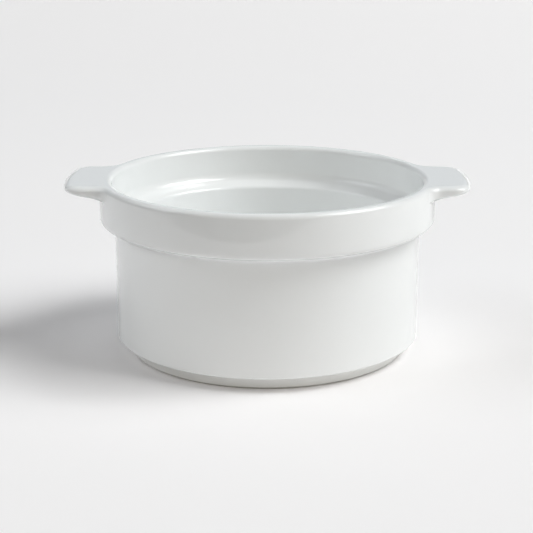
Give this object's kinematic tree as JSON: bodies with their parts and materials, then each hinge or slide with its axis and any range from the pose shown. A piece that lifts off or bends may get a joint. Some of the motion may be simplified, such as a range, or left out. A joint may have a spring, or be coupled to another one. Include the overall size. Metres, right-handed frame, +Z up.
{
  "type": "au gratin dish",
  "caption": "Deep round white porcelain gratin dish with a stepped stacking collar, rounded rim, recessed foot ring and flat tab handles, for baking and serving a single portion.",
  "frame": {"origin": "centre of the circle on which the foot ring stands, at table height", "axes": "+X through the right handle, +Z up along the dish's axis, -Y towards the viewer of the picture"},
  "size_m": [0.166, 0.138, 0.072],
  "materials": {
    "glazed_porcelain": "clear gloss glaze over white porcelain",
    "bare_porcelain": "unglazed where it meets the table"
  },
  "bodies": {
    "root": {"dish_body": "glazed_porcelain", "foot_ring": "bare_porcelain", "left_handle": "glazed_porcelain", "right_handle": "glazed_porcelain"}
  },
  "joints": []
}
